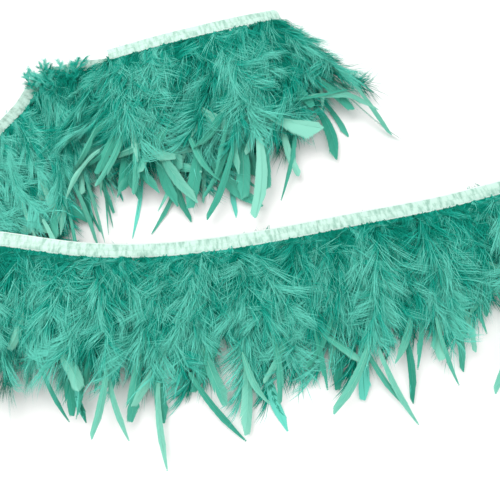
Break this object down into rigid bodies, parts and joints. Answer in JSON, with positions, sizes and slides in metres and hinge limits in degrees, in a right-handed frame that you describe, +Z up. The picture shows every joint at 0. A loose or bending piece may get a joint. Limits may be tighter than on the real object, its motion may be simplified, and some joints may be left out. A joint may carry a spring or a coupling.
{
  "type": "feather fringe trim",
  "caption": "Dyed feather fringe on a narrow two-ply satin ribbon, lying folded back on itself, for trimming costumes, boas and masks.",
  "frame": {"origin": "middle of the underside of the folded fringe as it lies on a table", "axes": "+X along the longer side of the layout, towards the front run's cut end; +Y away from the feather ends; +Z up from the table"},
  "size_m": [0.4608, 0.3238, 0.0285],
  "materials": {
    "satin": "pale mint polyester satin, woven, softly shining, puckered across its width",
    "backing": "matt reverse side of satin ribbon",
    "thread": "spun polyester sewing thread",
    "feather": "jade green dyed feather, matt downy barbs and smooth satin-like tips"
  },
  "bodies": {
    "back_run": {"backing_ribbon_back": "backing", "feather_tuft_back_01": "feather", "feather_tuft_back_02": "feather", "feather_tuft_back_03": "feather", "feather_tuft_back_04": "feather", "feather_tuft_back_05": "feather", "feather_tuft_back_06": "feather", "feather_tuft_back_07": "feather", "feather_tuft_back_08": "feather", "feather_tuft_back_09": "feather", "feather_tuft_back_10": "feather", "feather_tuft_back_11": "feather", "feather_tuft_back_12": "feather", "feather_tuft_back_13": "feather", "feather_tuft_back_14": "feather", "feather_tuft_fold_01": "feather", "feather_tuft_fold_02": "feather", "satin_ribbon_back": "satin", "seam_thread_back": "thread"},
    "top_layer": {"backing_ribbon_top": "backing", "feather_tuft_top_01": "feather", "feather_tuft_top_02": "feather", "feather_tuft_top_03": "feather", "feather_tuft_top_04": "feather", "satin_ribbon_top": "satin", "seam_thread_top": "thread"},
    "front_run": {"backing_ribbon_front": "backing", "feather_tuft_front_01": "feather", "feather_tuft_front_02": "feather", "feather_tuft_front_03": "feather", "feather_tuft_front_04": "feather", "feather_tuft_front_05": "feather", "feather_tuft_front_06": "feather", "feather_tuft_front_07": "feather", "feather_tuft_front_08": "feather", "feather_tuft_front_09": "feather", "feather_tuft_front_10": "feather", "feather_tuft_front_11": "feather", "feather_tuft_front_12": "feather", "feather_tuft_front_13": "feather", "satin_ribbon_front": "satin", "seam_thread_front": "thread"},
    "front_end": {"backing_ribbon_end": "backing", "feather_tuft_end_01": "feather", "feather_tuft_end_02": "feather", "feather_tuft_end_03": "feather", "feather_tuft_end_04": "feather", "feather_tuft_end_05": "feather", "feather_tuft_end_06": "feather", "feather_tuft_end_07": "feather", "satin_ribbon_end": "satin", "seam_thread_end": "thread"}
  },
  "joints": [
    {"name": "top_layer_peel", "type": "hinge", "parent": "back_run", "child": "top_layer", "pos_m": [-0.01089, 0.13615, 0.029], "axis": [-0.1507, 0.9886, 0], "range_deg": [0, 150]},
    {"name": "front_run_unfold", "type": "hinge", "parent": "back_run", "child": "front_run", "pos_m": [-0.2306, 0.00024, 0.011], "axis": [0.2419, -0.9703, 0], "range_deg": [0, 150]},
    {"name": "front_end_lift", "type": "hinge", "parent": "front_run", "child": "front_end", "pos_m": [0.065, -0.0169, 0.0125], "axis": [0.0936, -0.9956, 0], "range_deg": [0, 90]}
  ]
}
